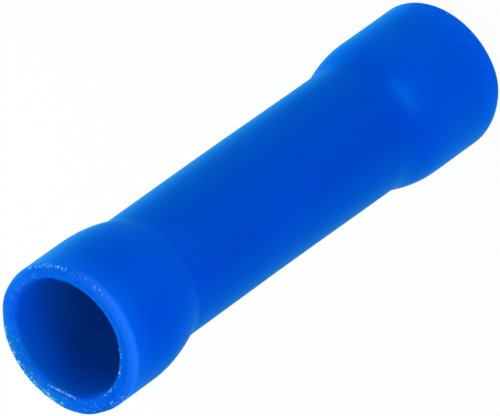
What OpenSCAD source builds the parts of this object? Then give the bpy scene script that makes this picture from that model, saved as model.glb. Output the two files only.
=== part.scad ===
// Insulated butt splice connector for 1.5 to 2.5 mm2 wire, standing on one end.
// A tinned copper barrel is pressed into the waist of a blue PVC sleeve, and the
// sleeve's two ends are opened into bells that take the insulation of the wires.
// Millimetres. The axis is Z, and the lower end face lies on z = 0.

/* [Barrel] */
// Inside diameter of the barrel, where the stripped conductor goes
barrel_bore = 2.3; // [1.4:0.1:3.6]
// Wall of the barrel
barrel_wall = 0.8; // [0.5:0.05:1.2]
// Length of the barrel
barrel_length = 15; // [11:0.5:19]
// Lead-in chamfer at the barrel's mouths
mouth_chamfer = 0.35; // [0.1:0.05:0.45]
// Chamfer that breaks the barrel's outer edges
edge_chamfer = 0.1; // [0.05:0.05:0.3]

/* [Wire stop] */
// Nose radius of the roller that presses the stop in
roller_radius = 0.7; // [0.6:0.05:1.2]
// How far the barrel's wall is rolled in at the stop
stop_depth = 0.55; // [0.3:0.05:0.6]

/* [Sleeve] */
// Length of the whole connector
overall_length = 25; // [21:0.5:40]
// Wall of the sleeve around the barrel
waist_wall = 0.85; // [0.5:0.05:1.2]
// Wall of the sleeve in the bells
bell_wall = 0.675; // [0.45:0.025:1]
// Radial step by which a bell's bore is opened beyond the barrel's outside
bell_flare = 0.65; // [0.5:0.05:1.5]
// Length of the funnel between a bell's bore and the barrel
funnel_length = 2.1; // [1:0.1:2.8]
// Radius of the rounded shoulder behind each bell
shoulder_radius = 7; // [1:0.5:12]
// Radius of the hollow where the shoulder runs out into the waist
neck_radius = 1.5; // [1:0.1:6]
// Rounding of the bell's outer lip
lip_radius = 0.2; // [0.1:0.05:0.4]
// Radial clearance between barrel and sleeve, 0 for a press fit
barrel_clearance = 0; // [0:0.01:0.05]

/* [Hidden] */
$fn = 96;

sleeve_blue = [0.0, 0.28, 0.77];
tin_grey = [0.80, 0.79, 0.76];

bore_r = barrel_bore / 2;
barrel_r = bore_r + barrel_wall;
half_length = overall_length / 2;
// Depth of the barrel's end and of the bell's straight part below an end face
barrel_depth = (overall_length - barrel_length) / 2;
bell_depth = barrel_depth - funnel_length;
seat_r = barrel_r + barrel_clearance;
waist_r = seat_r + waist_wall;
bell_bore_r = seat_r + bell_flare;
bell_r = bell_bore_r + bell_wall;
// Shoulder and neck are two arcs that meet with one slope, together as high as the bell's step
shoulder_angle = acos(1 - (bell_r - waist_r) / (shoulder_radius + neck_radius));
waist_depth = bell_depth + (shoulder_radius + neck_radius) * sin(shoulder_angle);
// Distance from the axis to the middle of the roller's round nose
roller_centre_r = barrel_r + roller_radius - stop_depth;
// How far a cutting outline runs past the face that it cuts
past = 1;
// Straight steps in each arc of an outline
arc_steps = 10;

// Points of an arc round a centre; the first is left out where another arc ends on it
function arc(centre, radius, from, to, first = 0) =
    [for (i = [first : arc_steps])
        let (angle = from + (to - from) * i / arc_steps)
        centre + radius * [cos(angle), sin(angle)]];

// The points of a half at the other end, in the order that carries an outline on round
function far_end(points) =
    [for (i = [len(points) - 1 : -1 : 0]) [points[i][0], overall_length - points[i][1]]];

// One half of each outline, from an end face towards the middle
lip_points = arc([bell_r - lip_radius, lip_radius], lip_radius, -90, 0);
shoulder_points = arc([bell_r - shoulder_radius, bell_depth], shoulder_radius, 0, shoulder_angle);
neck_points = arc([waist_r + neck_radius, waist_depth], neck_radius, 180 + shoulder_angle, 180, 1);
outside_points = concat([[0, 0]], lip_points, shoulder_points, neck_points);
inside_points = [
    [0, -past],
    [bell_bore_r, -past],
    [bell_bore_r, bell_depth],
    [seat_r, barrel_depth]
];
barrel_points = [
    [bore_r, barrel_depth + mouth_chamfer],
    [bore_r + mouth_chamfer, barrel_depth],
    [barrel_r - edge_chamfer, barrel_depth],
    [barrel_r, barrel_depth + edge_chamfer]
];

// Closed outline from the points of its half
module outline(points) {
    polygon(concat(points, far_end(points)));
}

// Round nose at the middle of the barrel, where the roller presses
module roller_nose(radius) {
    translate([roller_centre_r, half_length]) circle(radius);
}

module insulating_sleeve() {
    color(sleeve_blue) rotate_extrude() difference() {
        outline(outside_points);
        outline(inside_points);
    }
}

module crimp_barrel() {
    color(tin_grey) rotate_extrude() difference() {
        union() {
            outline(barrel_points);
            // the bead that the rolled-in wall raises inside the bore
            intersection() {
                roller_nose(roller_radius + barrel_wall);
                translate([0, barrel_depth]) square([barrel_r, barrel_length]);
            }
        }
        roller_nose(roller_radius);
    }
}

insulating_sleeve();
crimp_barrel();
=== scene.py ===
import math

import bmesh
import bpy
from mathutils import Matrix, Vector


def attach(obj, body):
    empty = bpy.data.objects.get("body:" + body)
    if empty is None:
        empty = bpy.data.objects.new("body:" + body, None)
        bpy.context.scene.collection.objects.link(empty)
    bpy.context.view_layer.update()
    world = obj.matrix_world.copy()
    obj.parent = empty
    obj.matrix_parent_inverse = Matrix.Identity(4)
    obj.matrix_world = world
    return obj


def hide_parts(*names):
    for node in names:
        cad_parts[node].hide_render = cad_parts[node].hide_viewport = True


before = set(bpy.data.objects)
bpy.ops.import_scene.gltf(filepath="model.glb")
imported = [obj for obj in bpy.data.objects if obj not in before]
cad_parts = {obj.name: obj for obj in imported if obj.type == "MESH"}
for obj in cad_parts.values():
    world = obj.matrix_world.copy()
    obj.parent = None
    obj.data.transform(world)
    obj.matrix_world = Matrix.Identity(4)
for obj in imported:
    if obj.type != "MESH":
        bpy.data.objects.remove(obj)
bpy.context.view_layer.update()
mm = 0.001
print("stage: frame loaded")


# small helpers for edit mode, painting and node trees

def deselectAll():
    if bpy.context.object and bpy.context.object.mode != "OBJECT":
        bpy.ops.object.mode_set(mode="OBJECT")
    bpy.ops.object.select_all(action="DESELECT")


def pick(piece):
    deselectAll()
    piece.select_set(True)
    bpy.context.view_layer.objects.active = piece


def smoothStep(low, high, value):
    t = min(1.0, max(0.0, (value - low) / (high - low)))
    return t * t * (3 - 2 * t)


def paintWeights(piece, name, weightAt):
    group = piece.vertex_groups.new(name=name)
    for point in piece.data.vertices:
        weight = weightAt(point)
        if weight > 0:
            group.add([point.index], weight, "REPLACE")
    return group.name


def paintAttribute(piece, name, valueAt):
    layer = piece.data.attributes.new(name, "FLOAT", "POINT")
    for point in piece.data.vertices:
        layer.data[point.index].value = valueAt(point)


def selectPoints(piece, wanted):
    # vertex selection by place, in edit mode
    mesh = bmesh.from_edit_mesh(piece.data)
    for point in mesh.verts:
        point.select = wanted(point)
    mesh.select_flush(True)
    mesh.select_flush(False)
    bmesh.update_edit_mesh(piece.data)


def addPush(piece, name, weightAt, direction, strength, texture=None, middle=0.0):
    # Displace modifier that acts where the points are painted
    push = piece.modifiers.new(name, "DISPLACE")
    push.texture = texture
    push.texture_coords = "LOCAL"
    push.direction = direction
    push.mid_level = middle
    push.strength = strength * mm
    push.vertex_group = paintWeights(piece, name, weightAt)


def applyModifiers(piece):
    bpy.context.view_layer.objects.active = piece
    for modifier in list(piece.modifiers):
        bpy.ops.object.modifier_apply(modifier=modifier.name)


def cloudTexture(name, size, detail, intensity=1.0, contrast=1.0):
    texture = bpy.data.textures.new(name, "CLOUDS")
    texture.noise_scale = size * mm
    texture.noise_depth = detail
    texture.intensity = intensity
    texture.contrast = contrast
    return texture


def newMaterial(name):
    material = bpy.data.materials.new(name)
    material.use_nodes = True
    material.node_tree.nodes.clear()
    return material, material.node_tree


def addNode(tree, kind, place, inputs=None, **settings):
    node = tree.nodes.new(kind)
    node.location = place
    for key, value in settings.items():
        setattr(node, key, value)
    for key, value in (inputs or {}).items():
        node.inputs[key].default_value = value
    return node


def addOutput(tree, place, shader, kind="ShaderNodeOutputMaterial"):
    output = addNode(tree, kind, place)
    tree.links.new(shader.outputs[0], output.inputs[0])


def plug(tree, socket, value):
    if isinstance(value, (int, float, tuple)):
        socket.default_value = value
    else:
        tree.links.new(value, socket)


def mathNode(tree, operation, place, a, b):
    node = addNode(tree, "ShaderNodeMath", place, operation=operation)
    plug(tree, node.inputs[0], a)
    plug(tree, node.inputs[1], b)
    return node.outputs[0]


def mapRange(tree, place, value, fromLow, fromHigh, toLow=0.0, toHigh=1.0):
    node = addNode(tree, "ShaderNodeMapRange", place, {1: fromLow, 2: fromHigh, 3: toLow, 4: toHigh})
    tree.links.new(value, node.inputs[0])
    return node.outputs[0]


def fadeOver(tree, place, distance, span):
    # 0 at the span's first distance and 1 at its second, in millimetres
    return mapRange(tree, place, distance, span[0] * mm, span[1] * mm)


def mixColour(tree, place, factor, first, second):
    node = addNode(tree, "ShaderNodeMix", place, data_type="RGBA")
    for socket, value in ((node.inputs[0], factor), (node.inputs[6], first), (node.inputs[7], second)):
        plug(tree, socket, value)
    return node.outputs[2]


def noise(tree, place, vector, scale, detail, roughness=0.5):
    inputs = {"Scale": scale, "Detail": detail, "Roughness": roughness}
    node = addNode(tree, "ShaderNodeTexNoise", place, inputs)
    tree.links.new(vector, node.inputs["Vector"])
    return node.outputs["Fac"]


def painted(tree, place, name):
    return addNode(tree, "ShaderNodeAttribute", place, attribute_name=name).outputs["Fac"]


# camera at the photograph's angle: the near mouth faces down to the left

cameraView = {
    "location": (0.321953, 0.0, 0.311603),
    "turn": (-32.2568, 36.4569, -46.7242),
    "lens": 788.72,
    "sensor": 36.0,
    "clip": (0.005, 10.0),
}

deselectAll()
bpy.ops.object.camera_add(
    location=cameraView["location"], rotation=[math.radians(a) for a in cameraView["turn"]]
)
camera = bpy.context.object
camera.name = "photoCamera"
camera.data.sensor_width = cameraView["sensor"]
camera.data.lens = cameraView["lens"]
camera.data.clip_start, camera.data.clip_end = cameraView["clip"]
bpy.context.scene.camera = camera
print("stage: camera")


# blue sleeve: a lathed tube with a bell at each end, in millimetres

sleeve = {
    "length": 25.0,
    "faceDip": 0.02,          # the cut faces lie this far inside the full length
    "nearBell": {"radius": 3.27, "lip": 0.2, "straight": 2.48, "shoulder": 7.1, "neck": 1.5},
    "farBell": {"radius": 3.215, "lip": 0.14, "straight": 3.4, "shoulder": 5.54, "neck": 3.0},
    "waist": 2.794,
    "bore": 2.6,
    "mouthEdge": 0.28,        # rounding of a mouth's inner edge
    "boreDepth": 2.9,
    "boreBend": 1.6,          # rounding where the bore turns into the funnel
    "seat": 1.955,
    "seatDepth": 5.0,
    # the waist lies off the line of the bells, less at the far neck, and so does the near mouth's bore
    "waistShift": {"far": 0.018, "near": 0.081, "along": (4.5, 14.5), "depth": (2.4, 5.2)},
    "boreShift": {"by": 0.02, "depth": (1.0, 4.0)},
    # rings of points on each stretch of the outline, those of the funnel as shares of its length
    "rings": {"face": 8, "lip": 10, "straight": 8, "shoulder": 14, "neck": 9, "waist": 12,
              "mouthEdge": 12, "bore": 7, "bend": 5, "funnel": (0.4, 0.6, 0.8)},
    "crowding": 1.6,          # draws the rings of a bell's straight part towards the lip
    "turns": 480,
    "slack": 0.002,           # for picking points by their place
    "smoothAngle": 50.0,
}
faceStart = sleeve["bore"] + sleeve["mouthEdge"]
lipStart = sleeve["nearBell"]["radius"] - sleeve["nearBell"]["lip"]


def arcPoints(centreR, centreZ, radius, start, end, steps, first=0):
    points = []
    for i in range(first, steps + 1):
        angle = math.radians(start + (end - start) * i / steps)
        points.append((centreR + radius * math.cos(angle), centreZ + radius * math.sin(angle)))
    return points


def bellOutside(bell):
    # radius and depth from the cut face to the waist, outside
    radius, lip, shoulder, neck = bell["radius"], bell["lip"], bell["shoulder"], bell["neck"]
    waist, dip, rings = sleeve["waist"], sleeve["faceDip"], sleeve["rings"]
    faceWidth = radius - lip - faceStart
    points = [(faceStart + faceWidth * i / rings["face"], dip) for i in range(rings["face"])]
    points += arcPoints(radius - lip, dip + lip, lip, -90, 0, rings["lip"])
    for i in range(1, rings["straight"]):
        share = (i / rings["straight"]) ** sleeve["crowding"]
        points.append((radius, dip + lip + (bell["straight"] - dip - lip) * share))
    angle = math.degrees(math.acos(1 - (radius - waist) / (shoulder + neck)))
    waistDepth = bell["straight"] + (shoulder + neck) * math.sin(math.radians(angle))
    points += arcPoints(radius - shoulder, bell["straight"], shoulder, 0, angle, rings["shoulder"])
    points += arcPoints(waist + neck, waistDepth, neck, 180 + angle, 180, rings["neck"], 1)
    return points


def boreInside():
    # radius and depth from the mouth's inner edge to the barrel's seat
    edge, dip, bend = sleeve["mouthEdge"], sleeve["faceDip"], sleeve["boreBend"]
    bore, boreDepth = sleeve["bore"], sleeve["boreDepth"]
    seat, seatDepth = sleeve["seat"], sleeve["seatDepth"]
    rings = sleeve["rings"]
    points = arcPoints(bore + edge, dip + edge, edge, 270, 180, rings["mouthEdge"], 1)
    for i in range(1, rings["bore"]):
        points.append((bore, dip + edge + (boreDepth - dip - edge) * i / rings["bore"]))
    slope = math.degrees(math.atan2(bore - seat, seatDepth - boreDepth))
    bendStart = boreDepth - bend * math.tan(math.radians(slope / 2))
    points += arcPoints(bore - bend, bendStart, bend, 0, slope, rings["bend"], 1)
    for share in rings["funnel"]:
        points.append((seat + (bore - seat) * (1 - share), boreDepth + (seatDepth - boreDepth) * share))
    points.append((seat, seatDepth))
    return points


def sleeveOutline():
    length, rings = sleeve["length"], sleeve["rings"]["waist"]
    near = [(r, length - d) for r, d in bellOutside(sleeve["nearBell"])]
    far = list(reversed(bellOutside(sleeve["farBell"])))
    top, bottom = near[-1][1], far[0][1]
    waist = [(sleeve["waist"], top + (bottom - top) * i / rings) for i in range(1, rings)]
    farBore = boreInside()
    nearBore = [(r, length - d) for r, d in reversed(farBore)]
    return near + waist + far + farBore + nearBore


def makeSleeve():
    outline = sleeveOutline()
    deselectAll()
    bpy.ops.mesh.primitive_plane_add(size=mm, location=(0, 0, 0))
    piece = bpy.context.object
    piece.name = "sleeve_moulding"
    bpy.ops.object.mode_set(mode="EDIT")
    bpy.ops.mesh.merge(type="CENTER")                 # one point, drawn out along the profile
    bpy.ops.transform.translate(value=(outline[0][0] * mm, 0, outline[0][1] * mm))
    for (r0, z0), (r1, z1) in zip(outline, outline[1:] + outline[:1]):
        bpy.ops.mesh.extrude_region_move(
            TRANSFORM_OT_translate={"value": ((r1 - r0) * mm, 0, (z1 - z0) * mm)}
        )
    bpy.ops.mesh.select_all(action="SELECT")
    bpy.ops.mesh.remove_doubles(threshold=1e-7)
    bpy.ops.mesh.spin(steps=sleeve["turns"], angle=2 * math.pi, center=(0, 0, 0), axis=(0, 0, 1))
    bpy.ops.mesh.select_all(action="SELECT")
    bpy.ops.mesh.remove_doubles(threshold=2e-7)
    bpy.ops.mesh.normals_make_consistent(inside=False)
    bpy.ops.object.mode_set(mode="OBJECT")
    return piece


# saw-cut ends: places in degrees round the mouth, sizes in millimetres

cut = {
    # where a rounded edge is crisp: the lip at the near end only, the mouth's inner edge at both
    "crispLip": [
        {"start": 110, "end": 250, "fade": 50, "amount": 0.42},
        {"start": 198, "end": 262, "fade": 22, "amount": 1.0},
        {"start": 92, "end": 146, "fade": 24, "amount": 0.5},
    ],
    "crispMouth": [
        {"start": 215, "end": 10, "fade": 70, "amount": 1.0},
        {"start": 300, "end": 100, "fade": 35, "amount": 0.5},
    ],
    "grain": {"height": 0.012, "size": 0.16},         # unevenness of the sawn faces
    "ragged": {"by": 0.006, "width": 0.03, "depth": 0.07, "seed": 7},
    "nicks": {"start": 40, "end": 125, "fade": 25, "elsewhere": 0.15, "deep": 0.04, "size": 0.22,
              "fromBore": 0.06, "depth": (0.1, 0.3)},
    "lift": {"height": 0.04, "size": 0.14, "ofRoom": 0.4},      # how far torn plastic stands up
    # each edge of the cut: the depth over which it ends, and its place on the face or the lip
    "edges": {
        "crest": {"ends": (0.11, 0.2), "begins": (0.03, 0.06), "radius": (3.1, 3.16)},
        "outer": {"ends": (0.2, 0.32), "width": 0.14},
        "inner": {"ends": (0.06, 0.14), "fromBore": (0.08, 0.16)},
        "face": {"ends": (0.03, 0.06)},
    },
    "tears": [
        {"edge": "crest", "start": 40, "end": 84, "amount": 1.0},
        {"edge": "crest", "start": 4, "end": 48, "amount": 0.38},
        {"edge": "crest", "start": 300, "end": 8, "amount": 0.12},
        {"edge": "outer", "start": 142, "end": 178, "amount": 0.7},
        {"edge": "outer", "start": 166, "end": 224, "amount": 0.95},
        {"edge": "outer", "start": 264, "end": 290, "amount": 0.75},
        {"edge": "inner", "start": 132, "end": 182, "amount": 0.45},
        {"edge": "inner", "start": 256, "end": 338, "amount": 0.55},
        {"edge": "face", "start": 138, "end": 206, "amount": 0.21},
        {"edge": "face", "start": 194, "end": 234, "amount": 0.14},
        {"edge": "face", "start": 234, "end": 268, "amount": 0.25},
        {"edge": "face", "start": 60, "end": 180, "amount": 0.06},
    ],
    "tearFade": 7.0,
    "tearDepth": 0.4,         # nothing is torn deeper than this
    "farTurn": 137.0,         # the far end is torn at other places, and less
    "farShare": 0.1,
    # a thread of plastic left along the mouth's inner edge
    "thread": {"turn": 219.0, "span": 18.0, "radius": 2.66, "rise": 0.07, "width": 0.024,
               "soft": (0.4, 1.2), "depth": 0.3},
    # the lip is rubbed pale and carries a painted highlight, the near cut is dull and greenish, and one
    # side of the cut faces carries a painted reflection
    "lipWearAndGlint": {"start": 255, "end": 62, "fade": 60, "fromLip": (-0.18, 0.1), "depth": (0.2, 0.46)},
    "bruised": {"start": 130, "end": 240, "fade": 30, "fromLip": (-0.14, 0.06), "depth": 0.4,
                "onFace": 0.35, "moreOnLip": 0.5},
    "sideReflection": {"start": 20, "end": 275, "fade": 80, "depth": 0.6},
    # one side of the far end's corner is rubbed down
    "wornCorner": {"start": 28, "end": 112, "fade": 40, "deep": 0.12, "reach": 0.55, "radius": (2.7, 3.1)},
}
cornerGain = math.sqrt(2) - 1      # a square corner stands this much beyond a rounding of radius 1


def atNearEnd(co):
    return co.z > 0.5 * sleeve["length"] * mm


def ringPlace(co):
    # radius, depth from the nearer end, and the turn round that end
    radius = math.hypot(co.x, co.y) / mm
    height = co.z / mm
    turn = math.degrees(math.atan2(co.y, co.x))
    if atNearEnd(co):
        return radius, sleeve["length"] - height, turn % 360
    return radius, height, (turn + cut["farTurn"]) % 360


def stretch(turn, part, fade):
    # 1 between the two turns of a part, fading to 0 at both
    span = (part["end"] - part["start"]) % 360
    past = (turn - part["start"]) % 360
    return smoothStep(0, fade, min(past, span - past)) if past < span else 0.0


def crispAt(point):
    # pushes a rounded edge back out towards its square corner
    radius, depth, turn = ringPlace(point.co)
    bell = sleeve["nearBell"] if atNearEnd(point.co) else sleeve["farBell"]
    if radius > bell["radius"] - bell["lip"]:
        size = bell["lip"]
        sides = cut["crispLip"] if atNearEnd(point.co) else []
        across = radius - (bell["radius"] - size)
    else:
        size = sleeve["mouthEdge"]
        sides = cut["crispMouth"]
        across = sleeve["bore"] + size - radius
    down = sleeve["faceDip"] + size - depth
    if across <= 0 or down <= 0:
        return 0.0
    push = min(1.0, max(0.0, (size / max(across, down) - 1) / cornerGain)) * size / sleeve["mouthEdge"]
    amounts = [side["amount"] * stretch(turn, side, side["fade"]) for side in sides]
    return push * max(amounts, default=0.0)


def edgeCover(name, radius, depth):
    # 1 on an edge of the cut, fading to 0 beside it
    edge = cut["edges"][name]
    cover = 1 - smoothStep(*edge["ends"], depth)
    if name == "crest":
        return cover * smoothStep(*edge["begins"], depth) * smoothStep(*edge["radius"], radius)
    if name == "outer":
        return cover * smoothStep(lipStart - edge["width"], lipStart, radius)
    if name == "inner":
        return cover * (1 - smoothStep(*edge["fromBore"], radius - sleeve["bore"]))
    return cover


def tornAt(point):
    radius, depth, turn = ringPlace(point.co)
    if depth > cut["tearDepth"]:
        return 0.0
    torn = 0.0
    for tear in cut["tears"]:
        cover = tear["amount"] * edgeCover(tear["edge"], radius, depth)
        torn = max(torn, cover * stretch(turn, tear, cut["tearFade"]))
    return torn if atNearEnd(point.co) else torn * cut["farShare"]


def liftAt(point):
    # torn plastic rises only as far as the full length and width allow
    torn = tornAt(point)
    if torn == 0:
        return 0.0
    radius, depth, _ = ringPlace(point.co)
    lift = cut["lift"]
    level = 0.01              # a slope below this has no limit
    up = abs(point.normal.z)
    out = (point.normal.x * point.co.x + point.normal.y * point.co.y) / (radius * mm)
    room = depth / up if up > level else lift["height"]
    if out > level:
        room = min(room, (sleeve["nearBell"]["radius"] - radius) / out)
    return torn * min(1.0, max(0.0, lift["ofRoom"] * room / lift["height"]))


def nickAt(point):
    radius, depth, turn = ringPlace(point.co)
    nicks = cut["nicks"]
    across = 1 - smoothStep(0.0, sleeve["mouthEdge"], abs(radius - sleeve["bore"] - nicks["fromBore"]))
    share = nicks["elsewhere"] + (1 - nicks["elsewhere"]) * stretch(turn, nicks, nicks["fade"])
    return across * (1 - smoothStep(*nicks["depth"], depth)) * share


def cornerAt(point):
    radius, depth, turn = ringPlace(point.co)
    worn = cut["wornCorner"]
    if atNearEnd(point.co):
        return 0.0
    cover = (1 - smoothStep(0, worn["reach"], depth)) * smoothStep(*worn["radius"], radius)
    return cover * stretch(turn, worn, worn["fade"])


def waistPullAt(point):
    # the barrel's grip draws the waist slightly to one side
    radius, depth, _ = ringPlace(point.co)
    if radius < 0.5 * (sleeve["bore"] + sleeve["waist"]):
        return 0.0
    shift = sleeve["waistShift"]
    least = shift["far"] / shift["near"]
    share = least + (1 - least) * smoothStep(*shift["along"], point.co.z / mm)
    return share * smoothStep(*shift["depth"], depth)


def borePullAt(point):
    radius, depth, _ = ringPlace(point.co)
    if not atNearEnd(point.co) or radius > faceStart + sleeve["slack"]:
        return 0.0
    return 1 - smoothStep(*sleeve["boreShift"]["depth"], depth)


def faceAt(point):
    _, depth, _ = ringPlace(point.co)
    return 1.0 if depth < sleeve["faceDip"] + sleeve["slack"] else 0.0


def threadAt(point):
    radius, depth, turn = ringPlace(point.co)
    thread = cut["thread"]
    along = (turn - thread["turn"]) / thread["span"]
    if abs(along) > 1 or depth > thread["depth"]:
        return 0.0
    middle = thread["radius"] + thread["rise"] * along * along
    low, high = thread["soft"]
    return 1 - smoothStep(low * thread["width"], high * thread["width"], abs(radius - middle))


# pale band on the lip: partly rubbed plastic, partly a painted highlight
def lipWearAndGlintAt(point):
    radius, depth, turn = ringPlace(point.co)
    wear = cut["lipWearAndGlint"]
    low, high = wear["fromLip"]
    across = smoothStep(lipStart + low, lipStart + high, radius)
    return across * (1 - smoothStep(*wear["depth"], depth)) * stretch(turn, wear, wear["fade"])


# painted reflection: one side of both cut faces is drawn lighter
def sideReflectionAt(point):
    _, depth, turn = ringPlace(point.co)
    sideReflection = cut["sideReflection"]
    return stretch(turn, sideReflection, sideReflection["fade"]) if depth < sideReflection["depth"] else 0.0


def bruisedAt(point):
    radius, depth, turn = ringPlace(point.co)
    bruised = cut["bruised"]
    if depth > bruised["depth"] or not atNearEnd(point.co):
        return 0.0
    low, high = bruised["fromLip"]
    amount = bruised["onFace"] + bruised["moreOnLip"] * smoothStep(lipStart + low, lipStart + high, radius)
    return amount * stretch(turn, bruised, bruised["fade"])


def crispEdges(piece):
    addPush(piece, "crispEdges", crispAt, "NORMAL", cornerGain * sleeve["mouthEdge"])
    applyModifiers(piece)


def roughenCuts(piece):
    paintAttribute(piece, "torn", tornAt)
    paintAttribute(piece, "thread", threadAt)
    paintAttribute(piece, "lipWearAndGlint", lipWearAndGlintAt)
    paintAttribute(piece, "sideReflection", sideReflectionAt)
    paintAttribute(piece, "bruised", bruisedAt)

    grain = cloudTexture("cutGrain", cut["grain"]["size"], 2)
    flakes = cloudTexture("tornFlakes", cut["lift"]["size"], 1, contrast=2.5)
    nicks = cloudTexture("edgeNicks", cut["nicks"]["size"], 2, intensity=1.25, contrast=2.0)
    addPush(piece, "cutGrain", faceAt, "Z", cut["grain"]["height"], grain, 0.5)
    addPush(piece, "tornFlakes", liftAt, "NORMAL", cut["lift"]["height"], flakes)
    addPush(piece, "waistPull", waistPullAt, "Y", sleeve["waistShift"]["near"])
    addPush(piece, "borePull", borePullAt, "Y", sleeve["boreShift"]["by"])
    addPush(piece, "wornCorner", cornerAt, "NORMAL", -cut["wornCorner"]["deep"])
    addPush(piece, "edgeNicks", nickAt, "NORMAL", cut["nicks"]["deep"], nicks, 1.0)
    applyModifiers(piece)

    # ragged inner and outer edges of both cuts
    ragged = cut["ragged"]

    def onEdge(point):
        radius, depth, _ = ringPlace(point.co)
        beside = min(abs(radius - edge) for edge in (faceStart, lipStart))
        return depth < ragged["depth"] and beside < ragged["width"]

    bpy.ops.object.mode_set(mode="EDIT")
    bpy.ops.mesh.select_mode(type="VERT")
    selectPoints(piece, onEdge)
    bpy.ops.transform.vertex_random(offset=ragged["by"] * mm, uniform=0.6, normal=0.0, seed=ragged["seed"])
    bpy.ops.mesh.select_all(action="DESELECT")
    bpy.ops.object.mode_set(mode="OBJECT")


sleevePiece = makeSleeve()
crispEdges(sleevePiece)
roughenCuts(sleevePiece)
pick(sleevePiece)
bpy.ops.object.shade_smooth_by_angle(angle=math.radians(sleeve["smoothAngle"]))
print("stage: sleeve", len(sleevePiece.data.polygons), "faces")


# finish of the sleeve: blue PVC, with a slot of its own for the bore

pvc = {
    "blue": (0.0, 0.022, 0.572, 1),
    "deepBlue": (0.0, 0.019, 0.542, 1),
    "bellBlue": (0.0, 0.024, 0.637, 1),       # thinner plastic of the near bell
    "farSheenBlue": (0.0, 0.036, 0.642, 1),        # far bell, paler, its extra green a painted sheen
    "neckShadeBlue": (0.0, 0.004, 0.62, 1),        # painted shade in the crease of the near neck, damping its sheen
    "endBlue": (0.0, 0.064, 0.80, 1),         # last millimetre of both bells
    "mouthLitBlue": (0.0, 0.10, 0.70, 1),        # bore at its mouth, painted lighter
    "boreShadeBlue": (0.0, 0.108, 0.49, 1),        # painted shade further in
    "cutBlue": (0.0, 0.064, 0.77, 1),
    "cutReflectionPale": (0.006, 0.120, 0.88, 1),
    "wornGlintBlue": (0.012, 0.13, 0.97, 1),
    "bruisedBlue": (0.0, 0.165, 0.60, 1),
    "tornBlue": (0.32, 0.62, 1.0, 1),
    "threadBlue": (0.30, 0.62, 1.0, 1),
    # millimetres from an end, or from the axis, over which a colour comes in
    "bellSpan": (6.5, 4.5),
    "neckSpan": (5.3, 4.95),
    "neckEnd": (3.4, 4.7),
    "endSpan": (1.5, 0.2),
    "boreSpan": (0.2, 3.0),
    "boreRadius": (2.66, 2.59),
    "cutSpan": (0.26, 0.03),
    # noises and chips, in cells to the metre
    "cloudScale": 420,
    "patchScale": 1900,
    "skinScale": 5200,
    "drawScale": 2600,
    "breakScale": 5500,
    "wobbleScale": 9000,
    "coarseChips": 6500,
    "fineChips": 15500,
    # what a noise or a cell makes of its range: from low, from high, to low, to high
    "clouds": (0.35, 0.65),
    "mottle": (0.3, 0.7, 0.4, 1.1),
    "chipPatches": (0.35, 0.62, 0.3, 1.1),
    "chipReach": (0.0, 1.0, 0.25, 0.75),
    "chipEdge": (0.0, 0.3),
    "chipTone": (0.0, 1.0, 0.3, 1.0),
    "tornTone": (0.0, 1.0, 0.5, 1.0),
    "threadBreaks": (0.42, 0.6),
    "roughness": (0.3, 0.7, 0.35, 0.41),
    "chipWobble": 0.08,       # millimetres by which chips lose their round outline
    "fineShare": 0.75,
    "tornBruise": 0.25,       # torn plastic is dull under its chips
    "cutRoughness": 0.2,      # what a sawn face is rougher by
    "drawStretch": 0.03,      # draw lines run along the tube
    "relief": {"skin": 0.6, "drawn": 0.5, "chips": 1.5, "strength": 0.15, "height": 0.02},
    # the gloss is blue-green only: a strong tint on a low level keeps red out of it
    "specular": 0.0015,
    "specularTint": (0.0, 200.0, 267.0, 1),
    "sheen": 0.36,
    "boreSheen": 0.1,         # the bore shows less of it
    "sheenRoughness": 0.52,
    "sheenTint": (0.0, 0.88, 1.0, 1),
    # the bore's slot starts just inside the mouth, and takes in the mouth's rounded edge
    "boreSlot": {"starts": 0.04, "mouthDepth": 0.4, "mouthWidth": 0.2, "width": 0.03},
}


def pvcPlace(tree, coords):
    # distances from the far end, the near end, the nearer end and the axis
    parts = addNode(tree, "ShaderNodeSeparateXYZ", (-1300, -300))
    tree.links.new(coords, parts.inputs[0])
    fromFar = parts.outputs[2]
    fromNear = mathNode(tree, "SUBTRACT", (-1150, -400), sleeve["length"] * mm, fromFar)
    fromEnd = mathNode(tree, "MINIMUM", (-1000, -300), fromFar, fromNear)
    flat = addNode(tree, "ShaderNodeCombineXYZ", (-1150, -200))
    tree.links.new(parts.outputs[0], flat.inputs[0])
    tree.links.new(parts.outputs[1], flat.inputs[1])
    radius = addNode(tree, "ShaderNodeVectorMath", (-1000, -200), operation="LENGTH")
    tree.links.new(flat.outputs[0], radius.inputs[0])
    return fromFar, fromNear, fromEnd, radius.outputs["Value"]


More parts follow.
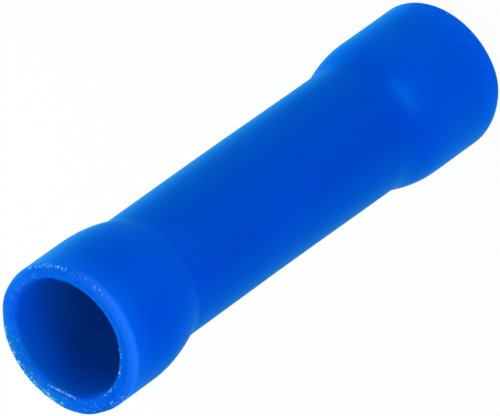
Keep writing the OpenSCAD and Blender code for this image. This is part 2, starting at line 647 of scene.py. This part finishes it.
def pvcBody(tree, coords, place):
    # cloudy pigment a few millimetres across, paler where the bells are stretched; painted sheen on the far
    # bell, painted shade in the near neck's crease, and painted light and shade down the bore
    fromFar, fromNear, fromEnd, radius = place
    cloud = noise(tree, (-1300, 300), coords, pvc["cloudScale"], 3, 0.55)
    clouds = mapRange(tree, (-1100, 300), cloud, *pvc["clouds"])
    body = mixColour(tree, (-900, 300), clouds, pvc["deepBlue"], pvc["blue"])
    # painted sheen: the far bell's extra green
    farBell = fadeOver(tree, (-900, 100), fromFar, pvc["bellSpan"])
    body = mixColour(tree, (-850, 300), farBell, body, pvc["farSheenBlue"])
    nearBell = fadeOver(tree, (-900, 50), fromNear, pvc["bellSpan"])
    body = mixColour(tree, (-800, 300), nearBell, body, pvc["bellBlue"])
    # painted shade in the near neck's crease
    neckStart = fadeOver(tree, (-900, -50), fromNear, pvc["neckSpan"])
    neckEnd = fadeOver(tree, (-900, -100), fromNear, pvc["neckEnd"])
    neckShade = mathNode(tree, "MULTIPLY", (-850, -50), neckStart, neckEnd)
    body = mixColour(tree, (-750, 300), neckShade, body, pvc["neckShadeBlue"])
    lastPart = fadeOver(tree, (-750, 100), fromEnd, pvc["endSpan"])
    body = mixColour(tree, (-600, 300), lastPart, body, pvc["endBlue"])
    # painted light and shade down the bore: lighter at the mouth, darker further in
    deeper = fadeOver(tree, (-750, 500), fromEnd, pvc["boreSpan"])
    boreShading = mixColour(tree, (-600, 500), deeper, pvc["mouthLitBlue"], pvc["boreShadeBlue"])
    inside = fadeOver(tree, (-750, -150), radius, pvc["boreRadius"])
    return mixColour(tree, (-450, 300), inside, body, boreShading)


def chipLayer(tree, place, coords, scale, density):
    # torn plastic as separate chips, present in as many cells as density says
    x, y = place
    cells = addNode(tree, "ShaderNodeTexVoronoi", (x, y), {"Scale": scale})
    tree.links.new(coords, cells.inputs["Vector"])
    parts = addNode(tree, "ShaderNodeSeparateColor", (x + 150, y))
    tree.links.new(cells.outputs["Color"], parts.inputs[0])
    present = mathNode(tree, "LESS_THAN", (x + 300, y), parts.outputs[0], density)
    reach = mapRange(tree, (x + 300, y - 150), parts.outputs[1], *pvc["chipReach"])
    grown = mathNode(tree, "SUBTRACT", (x + 450, y - 150), reach, cells.outputs["Distance"])
    solid = mapRange(tree, (x + 450, y), grown, *pvc["chipEdge"])
    chips = mathNode(tree, "MULTIPLY", (x + 600, y), present, solid)
    tone = mapRange(tree, (x + 450, y - 300), parts.outputs[2], *pvc["chipTone"])
    return mathNode(tree, "MULTIPLY", (x + 750, y), chips, tone)


def pvcChips(tree, coords, torn, patches):
    # chips at the torn edges, coarse and fine, irregular in outline
    wobble = addNode(tree, "ShaderNodeTexNoise", (-1700, -1400), {"Scale": pvc["wobbleScale"], "Detail": 2})
    tree.links.new(coords, wobble.inputs["Vector"])
    by = (pvc["chipWobble"] * mm,) * 3
    shake = addNode(tree, "ShaderNodeVectorMath", (-1550, -1400), {1: by}, operation="MULTIPLY")
    tree.links.new(wobble.outputs["Color"], shake.inputs[0])
    shaken = addNode(tree, "ShaderNodeVectorMath", (-1400, -1400), operation="ADD")
    tree.links.new(coords, shaken.inputs[0])
    tree.links.new(shake.outputs[0], shaken.inputs[1])

    spread = mapRange(tree, (-1150, -1050), patches, *pvc["chipPatches"])
    density = mathNode(tree, "MULTIPLY", (-1000, -700), torn, spread)
    coarseDensity = mathNode(tree, "MULTIPLY", (-1350, -1300), density, torn)
    fineDensity = mathNode(tree, "MULTIPLY", (-1350, -1700), density, pvc["fineShare"])
    coarse = chipLayer(tree, (-1200, -1300), shaken.outputs[0], pvc["coarseChips"], coarseDensity)
    fine = chipLayer(tree, (-1200, -1700), shaken.outputs[0], pvc["fineChips"], fineDensity)
    chips = mathNode(tree, "MAXIMUM", (-300, -1300), coarse, fine)
    tone = mapRange(tree, (-300, -1200), torn, *pvc["tornTone"])
    return mathNode(tree, "MULTIPLY", (-200, -1300), chips, tone)


def pvcRelief(tree, coords, skin, chips):
    # fine skin, faint draw lines along the tube, and the chips
    relief = pvc["relief"]
    along = addNode(tree, "ShaderNodeMapping", (-1500, -2400), {"Scale": (1, 1, pvc["drawStretch"])})
    tree.links.new(coords, along.inputs["Vector"])
    drawn = noise(tree, (-1300, -2400), along.outputs[0], pvc["drawScale"], 2)
    height = mathNode(
        tree, "ADD", (-850, -2200),
        mathNode(tree, "MULTIPLY", (-1000, -2200), skin, relief["skin"]),
        mathNode(tree, "MULTIPLY", (-1000, -2350), drawn, relief["drawn"]),
    )
    raised = mathNode(tree, "MULTIPLY", (-850, -2000), chips, relief["chips"])
    height = mathNode(tree, "ADD", (-700, -2100), height, raised)
    settings = {"Strength": relief["strength"], "Distance": relief["height"] * mm}
    bump = addNode(tree, "ShaderNodeBump", (-450, -2000), settings)
    tree.links.new(height, bump.inputs["Height"])
    return bump.outputs[0]


def pvcFinish(name, sheen):
    material, tree = newMaterial(name)
    link = tree.links.new
    coords = addNode(tree, "ShaderNodeTexCoord", (-1900, 0)).outputs["Object"]
    place = pvcPlace(tree, coords)
    fromEnd = place[2]
    torn = painted(tree, (-1300, -600), "torn")
    patches = noise(tree, (-1300, -1050), coords, pvc["patchScale"], 3, 0.6)

    # cut faces are paler, partly whitened plastic and partly painted light on the upward face, with a
    # mottled painted reflection on one side
    sawn = fadeOver(tree, (-850, -300), fromEnd, pvc["cutSpan"])
    mottle = mapRange(tree, (-850, -450), patches, *pvc["mottle"])
    mottle = mathNode(tree, "MULTIPLY", (-700, -450), mottle, painted(tree, (-1300, -900), "sideReflection"))
    cutColour = mixColour(tree, (-450, 0), mottle, pvc["cutBlue"], pvc["cutReflectionPale"])
    colour = mixColour(tree, (-300, 250), sawn, pvcBody(tree, coords, place), cutColour)
    # pale lip, partly rubbed plastic, partly a painted highlight
    colour = mixColour(tree, (-150, 200), painted(tree, (-1300, -750), "lipWearAndGlint"), colour, pvc["wornGlintBlue"])

    # bruised and torn plastic
    chips = pvcChips(tree, coords, torn, patches)
    underChips = mathNode(tree, "MULTIPLY", (-300, -1100), torn, pvc["tornBruise"])
    bruise = mathNode(tree, "MAXIMUM", (-150, -1000), painted(tree, (-300, -1000), "bruised"), underChips)
    colour = mixColour(tree, (-50, 180), bruise, colour, pvc["bruisedBlue"])
    colour = mixColour(tree, (50, 150), chips, colour, pvc["tornBlue"])

    # thread of plastic on the mouth's inner edge, broken in places
    gaps = noise(tree, (-1200, -2750), coords, pvc["breakScale"], 4, 0.7)
    breaks = mapRange(tree, (-1000, -2600), gaps, *pvc["threadBreaks"])
    thread = mathNode(tree, "MULTIPLY", (-800, -2600), painted(tree, (-1300, -2600), "thread"), breaks)
    colour = mixColour(tree, (150, 120), thread, colour, pvc["threadBlue"])

    skin = noise(tree, (-1300, -2200), coords, pvc["skinScale"], 4, 0.6)
    rough = mapRange(tree, (-600, -300), skin, *pvc["roughness"])
    rougher = mathNode(tree, "MULTIPLY", (-500, -450), sawn, pvc["cutRoughness"])
    shader = addNode(tree, "ShaderNodeBsdfPrincipled", (250, 0), {
        "Specular IOR Level": pvc["specular"], "Specular Tint": pvc["specularTint"],
        "Sheen Weight": sheen, "Sheen Roughness": pvc["sheenRoughness"], "Sheen Tint": pvc["sheenTint"],
    })
    link(colour, shader.inputs["Base Color"])
    link(mathNode(tree, "ADD", (-400, -300), rough, rougher), shader.inputs["Roughness"])
    link(pvcRelief(tree, coords, skin, chips), shader.inputs["Normal"])
    addOutput(tree, (550, 0), shader)
    return material


def finishSleeve(piece):
    piece.data.materials.append(pvcFinish("bluePvc", pvc["sheen"]))
    piece.data.materials.append(pvcFinish("bluePvcBore", pvc["boreSheen"]))
    slot = pvc["boreSlot"]

    def inBore(point):
        radius, depth, _ = ringPlace(point.co)
        width = slot["mouthWidth"] if depth < slot["mouthDepth"] else slot["width"]
        return depth > slot["starts"] and radius < sleeve["bore"] + width

    pick(piece)
    bpy.ops.object.mode_set(mode="EDIT")
    selectPoints(piece, inBore)
    piece.active_material_index = 1
    bpy.ops.object.material_slot_assign()
    bpy.ops.mesh.select_all(action="DESELECT")
    bpy.ops.object.mode_set(mode="OBJECT")


# finish of the barrel: tinned copper with faint draw lines

tin = {
    "bright": (0.80, 0.79, 0.76, 1),
    "dull": (0.60, 0.59, 0.56, 1),
    "bloomScale": 1500,
    "blooms": (0.35, 0.65),
    "roughness": (0.3, 0.7, 0.28, 0.42),      # from low, from high, to low, to high
    "drawScale": 9000,
    "drawStretch": 0.05,
    "relief": {"strength": 0.2, "height": 0.02},
}


def tinFinish():
    material, tree = newMaterial("tinnedCopper")
    link = tree.links.new
    coords = addNode(tree, "ShaderNodeTexCoord", (-1200, 0)).outputs["Object"]
    bloom = noise(tree, (-1000, 200), coords, tin["bloomScale"], 4, 0.6)
    blooms = mapRange(tree, (-800, 200), bloom, *tin["blooms"])
    colour = mixColour(tree, (-600, 200), blooms, tin["dull"], tin["bright"])
    along = addNode(tree, "ShaderNodeMapping", (-1000, -200), {"Scale": (1, 1, tin["drawStretch"])})
    link(coords, along.inputs["Vector"])
    drawn = noise(tree, (-800, -200), along.outputs[0], tin["drawScale"], 3)
    settings = {"Strength": tin["relief"]["strength"], "Distance": tin["relief"]["height"] * mm}
    bump = addNode(tree, "ShaderNodeBump", (-400, -300), settings)
    link(drawn, bump.inputs["Height"])
    shader = addNode(tree, "ShaderNodeBsdfPrincipled", (-100, 0), {"Metallic": 1.0})
    link(colour, shader.inputs["Base Color"])
    link(mapRange(tree, (-400, 0), bloom, *tin["roughness"]), shader.inputs["Roughness"])
    link(bump.outputs[0], shader.inputs["Normal"])
    addOutput(tree, (250, 0), shader)
    return material


finishSleeve(sleevePiece)
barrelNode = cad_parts["crimp_barrel"]
barrelNode.data.materials.clear()
barrelNode.data.materials.append(tinFinish())
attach(sleevePiece, "root")
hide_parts("insulating_sleeve")
print("stage: finishes")


# white studio: pale floor, white surround, soft lamps

studio = {
    "floorSize": 3.0,
    "floorColour": (0.82, 0.82, 0.82, 1),
    "floorGlow": 0.95,
    "surround": 0.67,
    "lamps": [
        {"name": "frontBox", "place": (0.10, -0.10, 0.09), "aim": (0, 0, 0.020),
         "size": (0.07, 0.07), "power": 0.087},
        {"name": "sideBox", "place": (0.03, 0.15, 0.04), "aim": (0, 0, 0.016),
         "size": (0.06, 0.06), "power": 0.028},
        {"name": "lowCard", "place": (0.056, 0.0, 0.003), "aim": (0, 0, 0.0045),
         "size": (0.054, 0.0110), "power": 0.025, "glossOnly": True},
        {"name": "tableCard", "place": (-0.03, 0.048, 0.0006), "aim": (-0.03, 0.048, 0.1),
         "size": (0.07, 0.07), "power": 0.0095},
        {"name": "rimBox", "place": (-0.125, 0.080, 0.05), "aim": (0, 0, 0.012),
         "size": (0.05, 0.05), "power": 0.165},
    ],
}


def seenDirectly(tree, place):
    # 1 for what the camera sees straight, in gloss or through a clear piece
    x, y = place
    paths = addNode(tree, "ShaderNodeLightPath", place).outputs
    seen = mathNode(tree, "MAXIMUM", (x + 200, y), paths["Is Camera Ray"], paths["Is Glossy Ray"])
    return mathNode(tree, "MAXIMUM", (x + 350, y), seen, paths["Is Transmission Ray"])


def makeFloor():
    deselectAll()
    bpy.ops.mesh.primitive_plane_add(size=studio["floorSize"], location=(0, 0, 0))
    floor = bpy.context.object
    floor.name = "studio_floor"
    material, tree = newMaterial("paleFloor")
    link = tree.links.new
    paint = addNode(tree, "ShaderNodeBsdfDiffuse", (-300, 0), {"Color": studio["floorColour"]})
    glow = addNode(tree, "ShaderNodeEmission", (-300, -150), {"Color": (1, 1, 1, 1), "Strength": 1.0})
    share = mathNode(tree, "MULTIPLY", (-150, 300), seenDirectly(tree, (-700, 300)), studio["floorGlow"])
    blend = addNode(tree, "ShaderNodeMixShader", (0, 0))
    link(share, blend.inputs[0])
    link(paint.outputs[0], blend.inputs[1])
    link(glow.outputs[0], blend.inputs[2])
    addOutput(tree, (200, 0), blend)
    floor.data.materials.append(material)


def makeSurround():
    world = bpy.data.worlds.new("whiteSurround")
    bpy.context.scene.world = world
    world.use_nodes = True
    tree = world.node_tree
    tree.nodes.clear()
    white = addNode(tree, "ShaderNodeBackground", (0, 0), {"Color": (1, 1, 1, 1)})
    seen = seenDirectly(tree, (-700, 0))
    strength = mapRange(tree, (-200, 0), seen, 0.0, 1.0, studio["surround"], 1.0)
    tree.links.new(strength, white.inputs["Strength"])
    addOutput(tree, (200, 0), white, "ShaderNodeOutputWorld")


def addLamps():
    for lamp in studio["lamps"]:
        way = Vector(lamp["aim"]) - Vector(lamp["place"])
        deselectAll()
        bpy.ops.object.light_add(
            type="AREA", location=lamp["place"], rotation=way.to_track_quat("-Z", "Y").to_euler()
        )
        light = bpy.context.object
        light.name = lamp["name"]
        light.visible_camera = False
        light.visible_diffuse = not lamp.get("glossOnly", False)
        light.data.shape = "RECTANGLE"
        light.data.size, light.data.size_y = lamp["size"]
        light.data.energy = lamp["power"]


makeFloor()
makeSurround()
addLamps()
bpy.context.scene.view_settings.view_transform = "Standard"
print("stage: studio")
